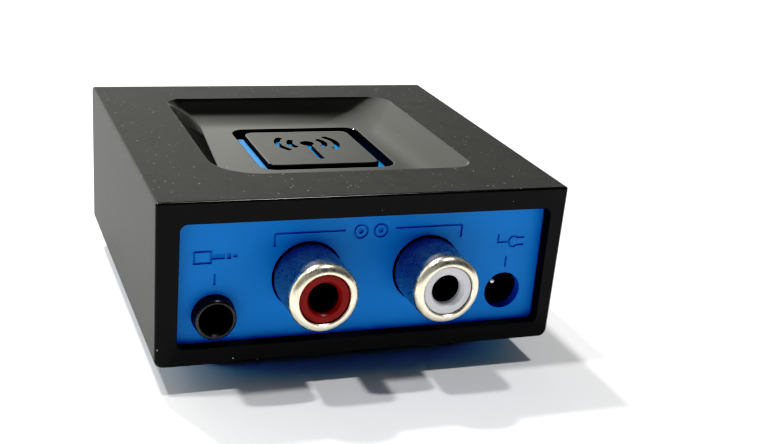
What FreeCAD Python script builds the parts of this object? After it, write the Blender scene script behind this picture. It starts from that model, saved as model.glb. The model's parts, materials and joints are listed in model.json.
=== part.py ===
"""Desktop wireless audio receiver: a 51 mm square box that stands on a pad under its blue bottom cover.

Two phono sockets, a 3.5 mm socket and a power inlet look out of a recessed blue panel on the -Y side.
A square pairing button sits in a glossy dish in the top, with a blue light ring around it.
Frame: origin at the middle of the pad's underside, +Z up, the sockets face -Y. Millimetres.
"""

import FreeCAD
import Part
import math
import os

V = FreeCAD.Vector
UP = V(0, 0, 1)
TO_REAR = V(0, 1, 0)

# ---- driving dimensions -------------------------------------------------------------------------
BODY = 51.0  # the top's side, over the walls
HEIGHT = 24.0  # table to top
STAND = 3.6  # table to the shell's lower edge
DRAFT = 0.27  # how far each wall leans in from top to lower edge
WALL = 1.4
TOP_WALL = 1.6
EDGE_R = 0.35  # the top's edges, and the outlines of the front and the rear
SIDE_LOW_R = 1.1  # the lower edges of the left and right sides are much rounder
GAP = 0.05  # moulded parts that drop into each other

HALF = BODY / 2
CAVITY = HALF - DRAFT - WALL - 0.03  # half the inside, left to right and to the rear
CEILING = HEIGHT - TOP_WALL

# the connector side
PANEL_FACE = -23.75  # the blue panel's front
PANEL_T = 1.4
PANEL_BACK = PANEL_FACE + PANEL_T
JACK_FACE = PANEL_BACK + GAP  # front of the sockets' blocks
WINDOW_LEFT = -22.7
WINDOW_RIGHT = 23.45
WINDOW_LOW = STAND + 2.2
WINDOW_HIGH = STAND + 17.7
WINDOW_R = 0.9

# the top
DISH_X = (-16.5, 17.0)  # the dish's rim: it lies a little off centre
DISH_Y = (-16.5, 18.2)
DISH_R = 3.0
DISH_FRONT_LEFT_R = 6.0  # the rim's front left corner is rounder
DISH_DEPTH = 2.0
DISH_FLOOR = HEIGHT - DISH_DEPTH
DISH_FLOOR_X = (-14.0, 10.2)  # the flat floor: the right and rear sides slope gently
DISH_FLOOR_Y = (-14.0, 9.4)
DISH_FLOOR_R = 3.0
DISH_FLOOR_FRONT_LEFT_R = 4.5
WELL_X = (-9.0, 9.1)  # the button's opening in the dish
WELL_Y = (-9.2, 8.6)
WELL_R = 2.0
RING_TOP = DISH_FLOOR - 1.5  # the light ring's visible face
RING_LOW = RING_TOP - 1.0
RING_UNDER_DISH = 1.0  # how far the ring goes in under the dish
LIGHT_BAR_TOP = DISH_FLOOR - 0.7  # the ring stands higher along the button's left side
LIGHT_BAR_Y = (-7.2, 6.4)
FLANGE_LOW = RING_TOP - 0.2
BUTTON_HALF = 7.5
BUTTON_R = 1.3
CAP_SKIN = 0.6
MARK_LINE = 0.4  # half the width of the mark's lines
MARK_Y = 1.7  # the head of the mast
MARK_FOOT = -5.2
MARK_ARCS = (2.4, 4.1)

# the bottom and the board
LEDGE_LOW = STAND + 0.3
LEDGE_TOP = LEDGE_LOW + 1.6
PLINTH_TOP_HALF = 19.2
PLINTH_LOW_HALF = 18.7
PLINTH_LOW = 0.5
PAD_HALF = 18.1
PAD_T = 1.1
TRAY_FLOOR = PAD_T + 1.3
TRAY_HALF = 17.4
BOARD_T = 1.2
BOARD_LOW = LEDGE_TOP
BOARD_TOP = BOARD_LOW + BOARD_T
BOARD_HALF = 22.8
BOARD_FRONT = -21.85

# fasteners
POST_X = 21.4
POST_YS = (-5.0, 20.4)
POST_R = 1.95
SCREW_R = 0.98
SCREW_HEAD_R = 1.9
SCREW_HEAD_T = 0.8
SCREW_SUNK = 0.7  # depth of the recess under each case screw's head
SCREW_LENGTH = 8.0
BOARD_SCREW_X = 14.5
BOARD_SCREW_Y = 14.5

# sockets: where their axes lie and how big they are
PAIR_X = 0.55  # midway between the two phono sockets
RED_X = PAIR_X - 7.58
WHITE_X = PAIR_X + 7.58
PHONO_Z = STAND + 9.92
PHONO_R = 4.2
PHONO_LIP_R = 1.0
PHONO_NECK_R = 4.0  # where the barrel passes through the panel
PHONO_SLEEVE_BORE_R = 3.05
PHONO_TIP = PANEL_FACE - 7.25
PHONO_RING_TIP = PHONO_TIP + 0.25  # the coloured ring in the barrel's mouth
PHONO_BORE_R = 1.8
PHONO_FLANGE_T = 0.4
PHONO_BLOCK_HALF = 4.9  # the block behind the panel
PHONO_BLOCK_LENGTH = 8.6
CONTACT_FRONT = -25.0
CONTACT_END = -17.0
CONTACT_PLATE_T = 0.4
AUX_X = -18.2
AUX_Z = STAND + 5.7
AUX_NOSE_R = 2.5
AUX_TIP = PANEL_FACE - 1.65
AUX_BORE_R = 1.8
DC_X = 18.87
DC_Z = STAND + 6.3
DC_MOUTH_R = 2.4
DC_BORE_R = 1.8
DC_PIN_R = 0.65
DC_PIN_ROOT_R = 0.9  # where the pin is held in the block
DC_PIN_TIP = PANEL_FACE + 2.6

# the switch under the button
SWITCH_HALF = 3.0
SWITCH_TOP = BOARD_TOP + 3.3
PLUNGER_R = 1.7
PLUNGER_TOP = BOARD_TOP + 5.0


# ---- helpers ------------------------------------------------------------------------------------
def box(x0, x1, y0, y1, z0, z1):
    return Part.makeBox(x1 - x0, y1 - y0, z1 - z0, V(x0, y0, z0))


def block(cx, cy, z0, wide, deep, high):
    """A box standing on z0, centred on (cx, cy)."""
    return box(cx - wide / 2, cx + wide / 2, cy - deep / 2, cy + deep / 2, z0, z0 + high)


def rod_y(r, x, z, y0, y1):
    return Part.makeCylinder(r, y1 - y0, V(x, y0, z), TO_REAR)


def rod_z(r, x, y, z0, z1):
    return Part.makeCylinder(r, z1 - z0, V(x, y, z0), UP)


def cone_y(r0, r1, x, z, y0, y1):
    return Part.makeCone(r0, r1, y1 - y0, V(x, y0, z), TO_REAR)


def rounded_loop(x0, x1, y0, y1, r, z, front_left_r=None):
    """A closed rectangle with round corners, flat at height z. The corner at x0, y0 can have its own radius."""
    s = r * (1 - math.sqrt(0.5))
    q = front_left_r or r
    t = q * (1 - math.sqrt(0.5))
    edges = [
        Part.makeLine(V(x0 + q, y0, z), V(x1 - r, y0, z)),
        Part.Arc(V(x1 - r, y0, z), V(x1 - s, y0 + s, z), V(x1, y0 + r, z)).toShape(),
        Part.makeLine(V(x1, y0 + r, z), V(x1, y1 - r, z)),
        Part.Arc(V(x1, y1 - r, z), V(x1 - s, y1 - s, z), V(x1 - r, y1, z)).toShape(),
        Part.makeLine(V(x1 - r, y1, z), V(x0 + r, y1, z)),
        Part.Arc(V(x0 + r, y1, z), V(x0 + s, y1 - s, z), V(x0, y1 - r, z)).toShape(),
        Part.makeLine(V(x0, y1 - r, z), V(x0, y0 + q, z)),
        Part.Arc(V(x0, y0 + q, z), V(x0 + t, y0 + t, z), V(x0 + q, y0, z)).toShape(),
    ]
    return Part.Wire(edges)


def square_wire(half, z):
    """A square with sharp corners."""
    corners = [V(-half, -half, z), V(half, -half, z), V(half, half, z), V(-half, half, z)]
    return Part.makePolygon(corners + corners[:1])


def square_loop(half, r, z):
    return rounded_loop(-half, half, -half, half, r, z)


def grown_loop(xs, ys, grow, r, z):
    """The round-cornered rectangle over xs and ys, made larger on every side."""
    return rounded_loop(xs[0] - grow, xs[1] + grow, ys[0] - grow, ys[1] + grow, r + grow, z)


def dish_loop(grow, z):
    """The dish's rim, made larger on every side."""
    return rounded_loop(
        DISH_X[0] - grow, DISH_X[1] + grow, DISH_Y[0] - grow, DISH_Y[1] + grow, DISH_R + grow, z,
        DISH_FRONT_LEFT_R + grow,
    )


def prism(loop, high):
    return Part.Face(loop).extrude(V(0, 0, high))


def square_prism(half, r, z0, z1):
    return prism(square_loop(half, r, z0), z1 - z0)


def fuse(first, *others):
    return first.multiFuse(list(others)).removeSplitter()


def cut(first, *others):
    return first.cut(Part.makeCompound(list(others)))


def edges_at(shape, z, tolerance=1e-3):
    """Every edge that lies flat at height z."""
    return [e for e in shape.Edges if all(abs(v.Z - z) < tolerance for v in e.Vertexes)]


def edges_near_y(shape, y, tolerance=1e-3):
    return [e for e in shape.Edges if all(abs(v.Y - y) < tolerance for v in e.Vertexes)]


def posts(radius, z0, z1):
    return [rod_z(radius, side * POST_X, y, z0, z1) for side in (-1, 1) for y in POST_YS]


def board_screw_places():
    return [(-BOARD_SCREW_X, BOARD_SCREW_Y), (BOARD_SCREW_X, BOARD_SCREW_Y)]


# ---- housing ------------------------------------------------------------------------------------
def leaning_block():
    """The shell's outer form: walls that lean in downwards, crisp edges and two round lower edges."""
    form = Part.makeLoft([square_wire(HALF, HEIGHT), square_wire(HALF - DRAFT, STAND)], True, True)
    sides = [e for e in edges_at(form, STAND) if abs(e.CenterOfMass.x) > abs(e.CenterOfMass.y)]
    form = form.makeFillet(SIDE_LOW_R, sides)
    fronts = [e for e in form.Edges if not crosses_the_sides(e)]
    tops = [e for e in edges_at(form, HEIGHT) if crosses_the_sides(e)]
    return form.makeFillet(EDGE_R, fronts + tops)


def crosses_the_sides(edge):
    """True for an edge that runs from the front of the block to its rear."""
    ys = [v.Y for v in edge.Vertexes]
    return min(ys) < 0 < max(ys)


def top_shell():
    """Black moulding: four leaning walls, a frame round the sockets and a square opening in the top."""
    outer = leaning_block()
    inside = prism(rounded_loop(-CAVITY, CAVITY, PANEL_FACE, CAVITY, 0.5, STAND - 1), CEILING - STAND + 1)
    window = prism(rounded_loop(WINDOW_LEFT, WINDOW_RIGHT, WINDOW_LOW, WINDOW_HIGH, WINDOW_R, 0), BODY / 4)
    window.rotate(V(0, 0, 0), V(1, 0, 0), 90)  # its height was drawn along Y, and its depth now runs to -Y
    window.translate(V(0, PANEL_FACE + 1, 0))
    opening = prism(dish_loop(0, CEILING - 1), TOP_WALL + 2)
    shell = cut(outer, inside, window, opening)
    ribs = [
        box(min(s * POST_X, s * (CAVITY + 0.2)), max(s * POST_X, s * (CAVITY + 0.2)), y - 0.6, y + 0.6,
            BOARD_TOP + 0.3, CEILING + 0.2)
        for s in (-1, 1)
        for y in POST_YS
    ]
    shell = fuse(shell, *posts(POST_R, LEDGE_TOP, CEILING + 0.2), *ribs)
    return cut(shell, *posts(SCREW_R + 0.02, LEDGE_TOP - 1, LEDGE_TOP + SCREW_LENGTH))


def top_dish():
    """Glossy insert: a shallow dish whose sides slope gently to the right and rear and steeply elsewhere."""
    flange_grow = 1.1
    rim_inset = 0.15
    stem = prism(dish_loop(-GAP, CEILING - 0.2), TOP_WALL + 0.2)
    flange = prism(dish_loop(flange_grow, FLANGE_LOW), CEILING - FLANGE_LOW)
    rim = dish_loop(-rim_inset, HEIGHT)
    floor = rounded_loop(*DISH_FLOOR_X, *DISH_FLOOR_Y, DISH_FLOOR_R, DISH_FLOOR, DISH_FLOOR_FRONT_LEFT_R)
    hollow = Part.makeLoft([floor, rim], True, True)
    hollow = hollow.makeFillet(0.5, edges_at(hollow, DISH_FLOOR))
    low = FLANGE_LOW - 1
    ring_seat = prism(grown_loop(WELL_X, WELL_Y, RING_UNDER_DISH + GAP, WELL_R, low), RING_TOP - low)
    well = prism(grown_loop(WELL_X, WELL_Y, 0, WELL_R, low), HEIGHT - low)
    return cut(fuse(stem, flange), hollow, ring_seat, well)


def light_ring():
    """Translucent blue ring that shows round the button, with two legs that bring up the light of the LEDs."""
    ring = prism(grown_loop(WELL_X, WELL_Y, RING_UNDER_DISH, WELL_R, RING_LOW), RING_TOP - RING_LOW)
    opening = square_prism(BUTTON_HALF + 0.2, BUTTON_R + 0.2, RING_LOW - 1, RING_TOP + 1)
    leg_low = BOARD_TOP + 1.5
    legs = [block(s * LED_X, 0, leg_low, 1.8, 2.4, RING_LOW + 0.1 - leg_low) for s in (-1, 1)]
    bar = box(WELL_X[0] + GAP, -BUTTON_HALF - 0.2, *LIGHT_BAR_Y, RING_TOP - 0.1, LIGHT_BAR_TOP)
    return fuse(cut(ring, opening), bar, *legs)


def panel_marks():
    """Shallow engraved marks above the sockets, drawn on the XZ plane and pushed into the panel."""
    line = 0.26
    front, back = PANEL_FACE - 1, PANEL_FACE + 0.2

    def bar(x0, x1, z0, z1):
        return box(x0, x1, front, back, z0, z1)

    def ring(x, z, r):
        return cut(rod_y(r, x, z, front, back), rod_y(r - line, x, z, front - 1, back + 1))

    bracket_z = STAND + 15.6
    marks = []
    for s in (-1, 1):  # a bracket over both phono sockets, and a ring and dot for each
        end = PAIR_X + s * 11.8
        eye = PAIR_X + s * 1.25
        near, far = sorted((PAIR_X + s * 3.2, end))
        marks.append(bar(near, far, bracket_z - line, bracket_z))
        marks.append(bar(end - line / 2, end + line / 2, bracket_z - 1.75, bracket_z))
        marks.append(ring(eye, bracket_z - 0.35, 0.95))
        marks.append(rod_y(0.32, eye, bracket_z - 0.35, front, back))
    tick_low, tick_high = STAND + 9.5, STAND + 10.9
    for x in (AUX_X, DC_X):
        marks.append(bar(x - line / 2, x + line / 2, tick_low, tick_high))
    mark_z = STAND + 13.0
    # a round plug on its side: grip, collar, shaft and tip
    grip = cut(bar(AUX_X - 2.6, AUX_X - 0.4, mark_z - 0.85, mark_z + 0.85),
               bar(AUX_X - 2.6 + line, AUX_X - 0.4 - line, mark_z - 0.85 + line, mark_z + 0.85 - line))
    marks += [grip, bar(AUX_X - 0.4, AUX_X + 1.1, mark_z - 0.35, mark_z + 0.35),
              bar(AUX_X + 1.35, AUX_X + 1.85, mark_z - 0.35, mark_z + 0.35),
              bar(AUX_X + 2.1, AUX_X + 2.6, mark_z - 0.2, mark_z + 0.2)]
    # a mains plug with its lead: bent lead, half round body, two pins
    plug_x = DC_X + 0.3
    body = cut(ring(plug_x + 0.5, mark_z - 0.1, 0.8),
               box(plug_x + 0.85, plug_x + 3, front - 1, back + 1, 0, HEIGHT))
    marks += [body, bar(plug_x - 1.8, plug_x - 0.2, mark_z - 0.25, mark_z + 0.01),
              bar(plug_x - 1.8, plug_x - 1.8 + line, mark_z - 0.25, mark_z + 0.95),
              bar(plug_x + 0.85, plug_x + 1.9, mark_z + 0.25, mark_z + 0.25 + line),
              bar(plug_x + 0.85, plug_x + 1.9, mark_z - 0.7, mark_z - 0.7 + line)]
    return marks


def connector_panel():
    """Blue plate behind the frame, pierced for the sockets."""
    edge = CAVITY - 0.1
    plate = prism(rounded_loop(-edge, edge, PANEL_FACE, PANEL_BACK, 0.5, LEDGE_TOP), CEILING - 0.1 - LEDGE_TOP)
    y0, y1 = PANEL_FACE - 1, PANEL_BACK + 1
    holes = [rod_y(PHONO_R + 0.15, x, PHONO_Z, y0, y1) for x in (RED_X, WHITE_X)]
    holes.append(rod_y(AUX_NOSE_R + 0.08, AUX_X, AUX_Z, y0, y1))
    holes.append(rod_y(DC_MOUTH_R, DC_X, DC_Z, y0, y1))
    return cut(plate, *holes, *panel_marks())


def bottom_cover():
    """Blue moulding that closes the shell from below and stands on its own raised plinth."""
    edge = CAVITY - 0.1
    ledge = prism(rounded_loop(-edge, edge, PANEL_FACE + 0.1, edge, 0.5, LEDGE_LOW), LEDGE_TOP - LEDGE_LOW)
    plinth = Part.makeLoft(
        [square_loop(PLINTH_TOP_HALF, 3.0, LEDGE_LOW + 0.2), square_loop(PLINTH_LOW_HALF, 3.0, PLINTH_LOW)],
        True, True,
    )
    plinth = plinth.makeFillet(0.3, edges_at(plinth, PLINTH_LOW))
    cover = fuse(ledge, plinth)
    tray = square_prism(TRAY_HALF, 2.0, TRAY_FLOOR, LEDGE_TOP + 1)
    pad_seat = square_prism(PAD_HALF + GAP, 2.55, PLINTH_LOW - 1, PAD_T)
    cover = cut(cover, tray, pad_seat)
    cover = fuse(cover, *[rod_z(2.2, x, y, TRAY_FLOOR - 0.2, LEDGE_TOP) for x, y in board_screw_places()])
    holes = posts(SCREW_R + 0.12, LEDGE_LOW - 1, LEDGE_TOP + 1)
    holes += posts(SCREW_HEAD_R + 0.15, LEDGE_LOW - 1, LEDGE_LOW + SCREW_SUNK)
    holes += [rod_z(SCREW_R + 0.02, x, y, TRAY_FLOOR + 0.3, LEDGE_TOP + 1) for x, y in board_screw_places()]
    return cut(cover, *holes)


def base_pad():
    """Soft pad glued into the plinth, which the receiver stands on."""
    pad = square_prism(PAD_HALF, 2.5, 0, PAD_T)
    return pad.makeFillet(0.25, edges_at(pad, 0))


# ---- button -------------------------------------------------------------------------------------
def mast_mark(z0, z1):
    """A mast with a dot at its head between two pairs of arcs, which lets the light through the cap."""
    pieces = [rod_z(0.95, 0, MARK_Y, z0, z1), box(-MARK_LINE, MARK_LINE, MARK_FOOT, MARK_Y, z0, z1)]
    for radius in MARK_ARCS:
        band = cut(rod_z(radius + MARK_LINE, 0, MARK_Y, z0, z1),
                   rod_z(radius - MARK_LINE, 0, MARK_Y, z0 - 1, z1 + 1))
        for turn in (0, 180):
            wedge = Part.makeCylinder(radius + 2, z1 - z0, V(0, MARK_Y, z0), UP, 84)
            wedge.rotate(V(0, MARK_Y, 0), UP, turn - 42)
            pieces.append(band.common(wedge))
    return pieces


def button_cap():
    """Black square cap with the pairing mark cut through it."""
    cap = square_prism(BUTTON_HALF, BUTTON_R, RING_LOW, DISH_FLOOR)
    cap = cap.makeFillet(0.2, edges_at(cap, DISH_FLOOR))
    hollow = square_prism(BUTTON_HALF - CAP_SKIN, BUTTON_R - CAP_SKIN / 2, RING_LOW - 1, DISH_FLOOR - CAP_SKIN)
    return cut(cap, hollow, *mast_mark(DISH_FLOOR - CAP_SKIN - 1, DISH_FLOOR + 1))


def button_carrier():
    """Translucent piece inside the cap: it spreads the light, holds the cap in and works the switch."""
    half = BUTTON_HALF - CAP_SKIN - GAP
    core = square_prism(half, BUTTON_R - CAP_SKIN / 2, RING_LOW - GAP, DISH_FLOOR - CAP_SKIN)
    stops = box(-6.0, 6.0, -BUTTON_HALF - 0.8, BUTTON_HALF + 0.8, RING_LOW - 1.0, RING_LOW - GAP)
    stem = rod_z(2.0, 0, 0, PLUNGER_TOP, RING_LOW - 0.9)
    return fuse(core, stops, stem)


def switch_base():
    base = block(0, 0, BOARD_TOP, 2 * SWITCH_HALF, 2 * SWITCH_HALF, SWITCH_TOP - BOARD_TOP)
    return cut(base, rod_z(PLUNGER_R + 0.15, 0, 0, BOARD_TOP + 1.5, SWITCH_TOP + 1))


def switch_cover():
    """Steel plate over the switch, with a leg folded down each side."""
    plate = block(0, 0, SWITCH_TOP, 2 * SWITCH_HALF, 2 * SWITCH_HALF, 0.3)
    legs = [
        box(min(s * 3.0, s * 3.25), max(s * 3.0, s * 3.25), -0.6, 0.6, BOARD_TOP, SWITCH_TOP + 0.3)
        for s in (-1, 1)
    ]
    return cut(fuse(plate, *legs), rod_z(PLUNGER_R + 0.15, 0, 0, SWITCH_TOP - 1, SWITCH_TOP + 1))


def switch_plunger():
    return rod_z(PLUNGER_R, 0, 0, BOARD_TOP + 2.2, PLUNGER_TOP)


# ---- sockets ------------------------------------------------------------------------------------
def phono_body(x):
    """Coloured moulding of a phono socket: the ring seen in the mouth and the block on the board."""
    front = JACK_FACE + PHONO_FLANGE_T
    room = CONTACT_END - 1.0  # where the bore widens for the contact's plate
    rear = front + PHONO_BLOCK_LENGTH
    top = PHONO_Z + PHONO_BLOCK_HALF - 0.3
    body = fuse(box(x - PHONO_BLOCK_HALF, x + PHONO_BLOCK_HALF, front, rear, BOARD_TOP, top),
                rod_y(PHONO_SLEEVE_BORE_R - GAP, x, PHONO_Z, PHONO_RING_TIP, front + 1))
    bore = rod_y(PHONO_BORE_R, x, PHONO_Z, PHONO_RING_TIP - 1, room)
    mouth = cone_y(PHONO_BORE_R + 0.6, PHONO_BORE_R, x, PHONO_Z, PHONO_RING_TIP - 0.05, PHONO_RING_TIP + 0.6)
    contact_room = rod_y(2.2, x, PHONO_Z, room, room + 2.0)
    tail_slot = box(x - 0.6, x + 0.6, CONTACT_END - 0.1, room + 2.0, BOARD_TOP - 1, PHONO_Z)
    return cut(body, bore, mouth, contact_room, tail_slot)


def phono_sleeve(x):
    """Nickel plated barrel that the plug's skirt grips, with a flange behind the panel and an earth tab."""
    barrel = rod_y(PHONO_R, x, PHONO_Z, PHONO_TIP, PANEL_FACE - 0.1)
    barrel = barrel.makeFillet(PHONO_LIP_R, edges_near_y(barrel, PHONO_TIP))
    neck = rod_y(PHONO_NECK_R, x, PHONO_Z, PANEL_FACE - 1, JACK_FACE + PHONO_FLANGE_T)
    flange = rod_y(PHONO_R + 0.6, x, PHONO_Z, JACK_FACE, JACK_FACE + PHONO_FLANGE_T)
    tab = box(x - 1.0, x + 1.0, JACK_FACE, JACK_FACE + PHONO_FLANGE_T, LEDGE_TOP + 0.1, PHONO_Z - 3.5)
    mouth = cone_y(PHONO_SLEEVE_BORE_R + 0.1, PHONO_SLEEVE_BORE_R, x, PHONO_Z, PHONO_TIP, PHONO_TIP + 0.1)
    bore = rod_y(PHONO_SLEEVE_BORE_R, x, PHONO_Z, PHONO_TIP - 1, JACK_FACE + 1)
    return cut(fuse(barrel, neck, flange, tab), bore, mouth)


def phono_contact(x):
    """Centre contact: a tube in the bore, closed at the rear, with a tail through the board."""
    plate_end = CONTACT_END + CONTACT_PLATE_T
    tube = rod_y(1.75, x, PHONO_Z, CONTACT_FRONT, CONTACT_END + 0.1)
    plate = rod_y(2.0, x, PHONO_Z, CONTACT_END, plate_end)
    tail = box(x - 0.4, x + 0.4, CONTACT_END, plate_end, BOARD_LOW - 1.0, PHONO_Z)
    return cut(fuse(tube, plate, tail), rod_y(1.62, x, PHONO_Z, CONTACT_FRONT - 1, CONTACT_END))


def spring_contact(x, z, y, side, reach, half_block, width=1.4):
    """A strip that lies in a slot of a socket's side, reaching in to the plug and down to the board."""
    inner, outer = x + side * reach, x + side * (half_block + 0.35)
    arm = box(min(inner, outer), max(inner, outer), y - width / 2, y + width / 2, z - 0.2, z + 0.2)
    leg_in, leg_out = x + side * (half_block + 0.05), outer
    leg = box(min(leg_in, leg_out), max(leg_in, leg_out), y - width / 2, y + width / 2, BOARD_TOP, z + 0.2)
    return fuse(arm, leg)


def spring_slot(x, z, y, side, half_block, width=1.8):
    inner, outer = x + side * 1.0, x + side * (half_block + 1)
    return box(min(inner, outer), max(inner, outer), y - width / 2, y + width / 2, z - 0.35, z + 0.35)


AUX_SPRINGS = ((-19.6, 1), (-16.4, -1), (-13.4, 1))  # where along the socket, and on which side
AUX_BLOCK_HALF = 3.3
AUX_END = -10.0


def aux_jack_body():
    """Black 3.5 mm socket with a round nose that fills its hole in the panel."""
    body = fuse(block(AUX_X, (JACK_FACE + AUX_END) / 2, BOARD_TOP, 2 * AUX_BLOCK_HALF, AUX_END - JACK_FACE,
                      AUX_Z + 2.8 - BOARD_TOP),
                rod_y(AUX_NOSE_R, AUX_X, AUX_Z, AUX_TIP, JACK_FACE + 1))
    body = body.makeFillet(0.35, edges_near_y(body, AUX_TIP))
    bore = rod_y(AUX_BORE_R, AUX_X, AUX_Z, AUX_TIP - 1, AUX_END - 1.4)
    mouth = cone_y(AUX_BORE_R + 0.25, AUX_BORE_R, AUX_X, AUX_Z, AUX_TIP - 0.01, AUX_TIP + 0.3)
    slots = [spring_slot(AUX_X, AUX_Z, y, side, AUX_BLOCK_HALF) for y, side in AUX_SPRINGS]
    return cut(body, bore, mouth, *slots)


def aux_jack_contacts():
    return Part.makeCompound(
        [spring_contact(AUX_X, AUX_Z, y, side, AUX_BORE_R + 0.02, AUX_BLOCK_HALF) for y, side in AUX_SPRINGS]
    )


DC_BLOCK_HALF = 3.4
DC_SPRING_Y = -17.5


def dc_jack_body():
    body = box(DC_X - DC_BLOCK_HALF, DC_X + DC_BLOCK_HALF, JACK_FACE, -12.0, BOARD_TOP, DC_Z + 3.4)
    bore = rod_y(DC_BORE_R, DC_X, DC_Z, JACK_FACE - 1, -14.0)
    mouth = cone_y(DC_MOUTH_R, DC_BORE_R, DC_X, DC_Z, JACK_FACE - 0.01, JACK_FACE + 1.2)
    pin_hole = rod_y(DC_PIN_ROOT_R + 0.02, DC_X, DC_Z, -14.5, -11.0)
    return cut(body, bore, mouth, pin_hole, spring_slot(DC_X, DC_Z, DC_SPRING_Y, -1, DC_BLOCK_HALF))


def dc_jack_pin():
    """Centre pin with a round tip, and its tail down the rear of the socket."""
    pin = fuse(rod_y(DC_PIN_R, DC_X, DC_Z, DC_PIN_TIP + DC_PIN_R, -13.0),
               Part.makeSphere(DC_PIN_R, V(DC_X, DC_PIN_TIP + DC_PIN_R, DC_Z)),
               rod_y(DC_PIN_ROOT_R, DC_X, DC_Z, -14.0, -11.6))
    return fuse(pin, box(DC_X - 0.5, DC_X + 0.5, -11.9, -11.5, BOARD_TOP, DC_Z + 0.9))


def dc_jack_spring():
    return spring_contact(DC_X, DC_Z, DC_SPRING_Y, -1, DC_BORE_R + 0.02, DC_BLOCK_HALF)


# ---- board and what is on it --------------------------------------------------------------------
LED_X = 9.05
CAN_PLACES = ((-8.0, -8.2), (8.0, -8.2), (9.5, 9.0), (15.0, 5.5))
CERAMIC_PLACES = ((-15.0, 4.6), (-18.9, 13.4), (-4.0, 15.5), (-1.6, 15.5), (1.0, 8.4), (3.4, 8.4),
                  (-14.0, -1.6), (-11.6, -1.6), (12.0, -1.2), (19.2, 3.4))
RESISTOR_PLACES = ((-6.2, 15.5), (-8.4, 15.5), (1.0, 10.2), (3.4, 10.2), (1.0, 12.0), (3.4, 12.0),
                   (-3.0, -9.6), (0.0, -9.6), (3.0, -9.6), (-5.6, -5.0), (5.6, -5.0), (19.2, 1.4))


def main_board():
    """Circuit board, notched round the posts and pierced for the tails of the sockets."""
    board = box(-BOARD_HALF, BOARD_HALF, BOARD_FRONT, BOARD_HALF, BOARD_LOW, BOARD_TOP)
    holes = posts(POST_R + 0.25, BOARD_LOW - 1, BOARD_TOP + 1)
    for s in (-1, 1):
        near, far = sorted((s * POST_X, s * (BOARD_HALF + 1)))
        holes += [box(near, far, y - POST_R - 0.25, y + POST_R + 0.25, BOARD_LOW - 1, BOARD_TOP + 1)
                  for y in POST_YS]
    tail_y = CONTACT_END + CONTACT_PLATE_T / 2
    holes += [rod_z(0.6, x, tail_y, BOARD_LOW - 1, BOARD_TOP + 1) for x in (RED_X, WHITE_X)]
    holes += [rod_z(SCREW_R + 0.15, x, y, BOARD_LOW - 1, BOARD_TOP + 1) for x, y in board_screw_places()]
    return cut(board, *holes)


def leaded_chip(x, y, wide, deep, high, pins, pitch):
    """A chip with a row of leads along its front and rear."""
    pieces = [block(x, y, BOARD_TOP + 0.1, wide, deep, high)]
    for s in (-1, 1):
        for n in range(pins):
            px = x + (n - (pins - 1) / 2) * pitch
            pieces.append(block(px, y + s * (deep / 2 + 0.45), BOARD_TOP, 0.4, 0.9, 0.35))
    return Part.makeCompound(pieces)


def radio_chip():
    return block(-8.5, 9.5, BOARD_TOP, 6.0, 6.0, 0.9)


def flash_chip():
    return leaded_chip(-15.5, 9.0, 5.0, 3.9, 1.4, 4, 1.27)


def audio_chip():
    return leaded_chip(-13.5, -5.8, 5.0, 4.4, 1.2, 8, 0.65)


def crystal():
    return block(-2.6, 11.6, BOARD_TOP, 2.5, 3.2, 0.8)


def chip_antenna():
    return block(0, 20.6, BOARD_TOP, 9.5, 2.1, 1.2)


def power_inductor():
    core = block(15.2, -1.0, BOARD_TOP, 4.0, 4.0, 1.9)
    return core.makeFillet(0.6, [e for e in core.Edges if abs(e.tangentAt(e.FirstParameter).z) > 0.9])


def voltage_regulator():
    return leaded_chip(14.6, -6.4, 3.0, 1.6, 1.1, 3, 0.95)


def electrolytic_capacitors():
    cans = []
    for x, y in CAN_PLACES:
        foot = block(x, y, BOARD_TOP, 4.3, 4.3, 0.5)
        cans.append(fuse(foot, rod_z(2.0, x, y, BOARD_TOP + 0.4, BOARD_TOP + 5.3)))
    return Part.makeCompound(cans)


def ceramic_capacitors():
    return Part.makeCompound([block(x, y, BOARD_TOP, 1.6, 0.8, 0.8) for x, y in CERAMIC_PLACES])


def chip_resistors():
    return Part.makeCompound([block(x, y, BOARD_TOP, 1.6, 0.8, 0.45) for x, y in RESISTOR_PLACES])


def status_leds():
    return Part.makeCompound([block(s * LED_X, 0, BOARD_TOP, 1.6, 0.8, 0.7) for s in (-1, 1)])


# ---- screws -------------------------------------------------------------------------------------
def screw(x, y, head_z, up, length):
    """A pan head screw whose shank runs along +Z (up is 1) or -Z (up is -1) from under its head."""
    face_z = head_z - up * SCREW_HEAD_T
    head = rod_z(SCREW_HEAD_R, x, y, *sorted((head_z, face_z)))
    shank = rod_z(SCREW_R, x, y, *sorted((head_z, head_z + up * length)))
    low, high = sorted((face_z - up * 1, face_z + up * 0.45))
    cross = [block(x, y, low, 2.2, 0.4, high - low), block(x, y, low, 0.4, 2.2, high - low)]
    return cut(fuse(head, shank), *cross)


def case_screws():
    head_z = LEDGE_LOW + SCREW_SUNK
    return Part.makeCompound(
        [screw(s * POST_X, y, head_z, 1, SCREW_LENGTH) for s in (-1, 1) for y in POST_YS]
    )


def board_screws():
    return Part.makeCompound([screw(x, y, BOARD_TOP, -1, 3.6) for x, y in board_screw_places()])


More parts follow.
